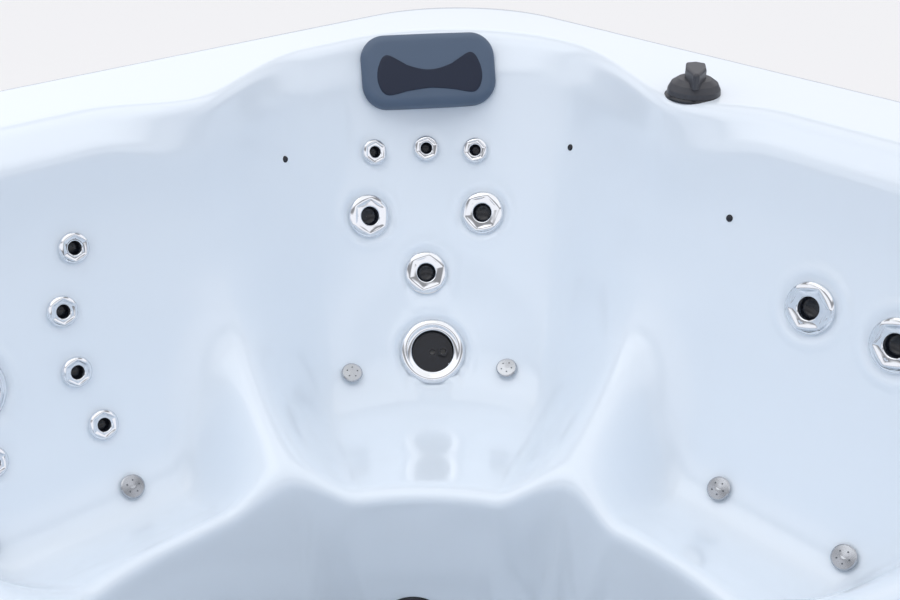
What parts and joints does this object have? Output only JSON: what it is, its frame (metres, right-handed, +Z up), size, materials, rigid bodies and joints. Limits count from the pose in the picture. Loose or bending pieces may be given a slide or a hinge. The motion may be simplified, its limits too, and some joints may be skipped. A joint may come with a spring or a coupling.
{
  "type": "hot tub",
  "caption": "Square hot tub with a moulded acrylic shell of contoured seats and footwell, turning jets, corner pillows, coping controls, filter and an equipment bay behind an access panel.",
  "frame": {"origin": "centre of the base on the ground", "axes": "+Z up, the corner seat with its pillow toward -X +Y, the control panel and the equipment bay toward -Y"},
  "size_m": [2.2004, 2.2012, 0.976],
  "materials": {
    "acrylic": "glossy",
    "chrome": "polished",
    "stainless": "brushed",
    "white_plastic": "satin",
    "black_plastic": "satin",
    "dark_gloss": "glossy",
    "grey_plastic": "satin",
    "cabinet": "satin",
    "timber": "sawn",
    "pillow": "matte",
    "insert": "satin",
    "lens": "clear",
    "motor_paint": "satin",
    "filter_media": "woven",
    "button_rubber": "matte"
  },
  "bodies": {
    "tub": {"acrylic_shell": "acrylic", "air_blower": "black_plastic", "air_control_valve": "black_plastic", "air_injectors": "stainless", "air_manifold": "white_plastic", "base_pan": "black_plastic", "cabinet_corner_panels": "cabinet", "cabinet_side_panels": "cabinet", "circulation_pump": "motor_paint", "control_box": "grey_plastic", "control_box_lid": "grey_plastic", "corner_pillows": "pillow", "diverter_valve": "black_plastic", "drain_line": "white_plastic", "filter_housing": "white_plastic", "footwell_cradle": "timber", "footwell_drain": "white_plastic", "heater_tube": "stainless", "jet_nuts": "white_plastic", "jet_pump_motor": "motor_paint", "jet_pump_wet_end": "black_plastic", "large_jet_bodies": "white_plastic", "medium_jet_bodies": "white_plastic", "other_large_jet_faces": "chrome", "other_medium_jet_faces": "chrome", "other_small_jet_faces": "chrome", "pillow_inserts": "insert", "point_lights": "dark_gloss", "pressure_pipes": "white_plastic", "slice_valve_bodies": "grey_plastic", "small_jet_bodies": "white_plastic", "suction_covers": "grey_plastic", "suction_pipes": "white_plastic", "support_frame": "timber", "topside_panel": "grey_plastic", "underwater_light_bezel": "white_plastic", "underwater_light_lens": "lens"},
    "access_panel": {"access_panel": "cabinet", "access_panel_screws": "stainless"},
    "impeller": {"jet_pump_impeller": "black_plastic"},
    "suction_valve": {"suction_valve_handle": "grey_plastic"},
    "pressure_valve": {"pressure_valve_handle": "grey_plastic"},
    "filter_insert": {"filter_lid": "grey_plastic", "filter_cartridge": "filter_media"},
    "weir": {"weir_flap": "white_plastic"},
    "temperature_up_key": {"temperature_up_button": "button_rubber"},
    "temperature_down_key": {"temperature_down_button": "button_rubber"},
    "jets_key": {"jets_button": "button_rubber"},
    "light_key": {"light_button": "button_rubber"},
    "diverter": {"diverter_handle": "grey_plastic"},
    "air_knob": {"air_control_knob": "grey_plastic"},
    "drain_cap": {"drain_cap": "black_plastic"},
    "corner_small_jet_1": {"corner_small_jet_face_1": "chrome"},
    "corner_small_jet_2": {"corner_small_jet_face_2": "chrome"},
    "corner_small_jet_3": {"corner_small_jet_face_3": "chrome"},
    "corner_medium_jet_1": {"corner_medium_jet_face_1": "chrome"},
    "corner_medium_jet_2": {"corner_medium_jet_face_2": "chrome"},
    "corner_medium_jet_3": {"corner_medium_jet_face_3": "chrome"},
    "corner_large_jet_1": {"corner_large_jet_face_1": "chrome"},
    "jet_rotor": {"corner_large_jet_rotor": "dark_gloss"}
  },
  "joints": [
    {"name": "access_panel_off", "type": "slide", "parent": "tub", "child": "access_panel", "axis": [0, -1, 0], "range_m": [0, 0.6]},
    {"name": "impeller_spin", "type": "hinge", "parent": "tub", "child": "impeller", "pos_m": [-0.11, -0.86, 0.12], "axis": [1, 0, 0], "continuous": true},
    {"name": "suction_valve_close", "type": "slide", "parent": "tub", "child": "suction_valve", "axis": [0, 0, -1], "range_m": [0, 0.062]},
    {"name": "pressure_valve_close", "type": "slide", "parent": "tub", "child": "pressure_valve", "axis": [0, 1, 0], "range_m": [0, 0.062]},
    {"name": "filter_lift", "type": "slide", "parent": "tub", "child": "filter_insert", "axis": [0, 0, 1], "range_m": [0, 0.42]},
    {"name": "weir_tip", "type": "hinge", "parent": "tub", "child": "weir", "pos_m": [0.72973, 0.72973, 0.793], "axis": [-0.7071, 0.7071, 0], "range_deg": [0, 70]},
    {"name": "temperature_up_press", "type": "slide", "parent": "tub", "child": "temperature_up_key", "axis": [0, -0.0308, -0.9995], "range_m": [0, 0.0015], "stiffness_N_per_m": 400},
    {"name": "temperature_down_press", "type": "slide", "parent": "tub", "child": "temperature_down_key", "axis": [0, -0.0308, -0.9995], "range_m": [0, 0.0015], "stiffness_N_per_m": 400},
    {"name": "jets_press", "type": "slide", "parent": "tub", "child": "jets_key", "axis": [0, -0.0308, -0.9995], "range_m": [0, 0.0015], "stiffness_N_per_m": 400},
    {"name": "light_press", "type": "slide", "parent": "tub", "child": "light_key", "axis": [0, -0.0308, -0.9995], "range_m": [0, 0.0015], "stiffness_N_per_m": 400},
    {"name": "diverter_turn", "type": "hinge", "parent": "tub", "child": "diverter", "pos_m": [-0.336, 0.903, 0.926], "axis": [0, 0, 1], "range_deg": [-90, 90]},
    {"name": "air_knob_turn", "type": "hinge", "parent": "tub", "child": "air_knob", "pos_m": [0.32958, -0.98504, 0.93381], "axis": [0, 0.0451, 0.999], "range_deg": [-135, 135]},
    {"name": "drain_cap_turn", "type": "hinge", "parent": "tub", "child": "drain_cap", "pos_m": [-0.38, -1.02, 0.041], "axis": [0, -1, 0], "range_deg": [0, 360]},
    {"name": "corner_small_jet_1_turn", "type": "hinge", "parent": "tub", "child": "corner_small_jet_1", "pos_m": [-0.87611, 0.65241, 0.74341], "axis": [0.8858, -0.2455, 0.3938], "range_deg": [0, 90]},
    {"name": "corner_small_jet_2_turn", "type": "hinge", "parent": "tub", "child": "corner_small_jet_2", "pos_m": [-0.83137, 0.7457, 0.74033], "axis": [0.7406, -0.5021, 0.4465], "range_deg": [0, 90]},
    {"name": "corner_small_jet_3_turn", "type": "hinge", "parent": "tub", "child": "corner_small_jet_3", "pos_m": [-0.76525, 0.81506, 0.73732], "axis": [0.558, -0.6961, 0.4518], "range_deg": [0, 90]},
    {"name": "corner_medium_jet_1_turn", "type": "hinge", "parent": "tub", "child": "corner_medium_jet_1", "pos_m": [-0.84057, 0.60749, 0.63499], "axis": [0.8814, -0.2443, 0.4043], "range_deg": [0, 90]},
    {"name": "corner_medium_jet_2_turn", "type": "hinge", "parent": "tub", "child": "corner_medium_jet_2", "pos_m": [-0.74699, 0.66995, 0.52665], "axis": [0.6817, -0.4952, 0.5385], "range_deg": [0, 90]},
    {"name": "corner_medium_jet_3_turn", "type": "hinge", "parent": "tub", "child": "corner_medium_jet_3", "pos_m": [-0.71344, 0.78716, 0.63085], "axis": [0.5227, -0.7181, 0.4595], "range_deg": [0, 90]},
    {"name": "corner_large_jet_1_turn", "type": "hinge", "parent": "tub", "child": "corner_large_jet_1", "pos_m": [-0.67468, 0.62235, 0.40186], "axis": [0.6123, -0.5001, 0.6124], "range_deg": [0, 90]},
    {"name": "jet_rotor_spin", "type": "hinge", "parent": "corner_large_jet_1", "child": "jet_rotor", "pos_m": [-0.67468, 0.62235, 0.40186], "axis": [0.6123, -0.5001, 0.6124], "continuous": true}
  ]
}
